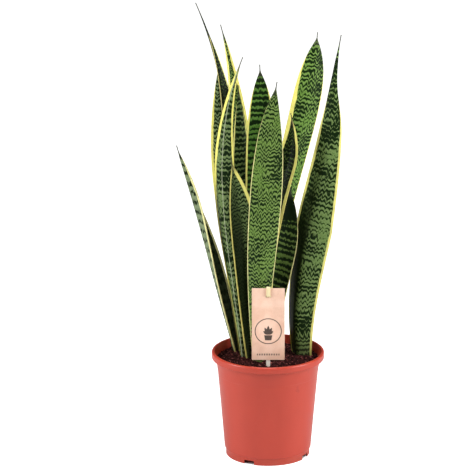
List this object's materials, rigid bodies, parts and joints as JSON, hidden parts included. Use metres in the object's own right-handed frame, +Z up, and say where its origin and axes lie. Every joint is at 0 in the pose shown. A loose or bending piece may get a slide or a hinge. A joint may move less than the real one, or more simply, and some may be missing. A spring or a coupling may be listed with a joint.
{
  "type": "potted snake plant",
  "caption": "Tall snake plant with banded, yellow-edged leaves in a terracotta-coloured nursery pot with soil and a card on a stake.",
  "frame": {"origin": "on the surface the pot stands on, under the middle of the whole plant's footprint; the pot's axis is at X = 0.0146, Y = 0", "axes": "+Z up along the pot's axis; +Y away from the viewer, from the front where the card faces; +X to the viewer's right"},
  "size_m": [0.2441, 0.169, 0.6803],
  "materials": {
    "terracotta_plastic": "satin moulded plastic",
    "potting_mix": "damp loose granules",
    "leaf": "waxy, banded green with yellow margins",
    "kraft_board": "uncoated, printed",
    "cream_plastic": "satin"
  },
  "bodies": {
    "root": {"nursery_pot": "terracotta_plastic", "soil": "potting_mix", "leaf_far_left": "leaf", "leaf_tall_left": "leaf", "leaf_back_left": "leaf", "leaf_front_left": "leaf", "leaf_slender_left": "leaf", "leaf_banded_left": "leaf", "leaf_short_left": "leaf", "leaf_centre_back": "leaf", "leaf_front_centre": "leaf", "leaf_broad_right": "leaf", "leaf_hidden_tip": "leaf", "leaf_hooked": "leaf", "leaf_short_right": "leaf", "leaf_big_right": "leaf", "care_card": "kraft_board", "card_stake": "cream_plastic"}
  },
  "joints": []
}
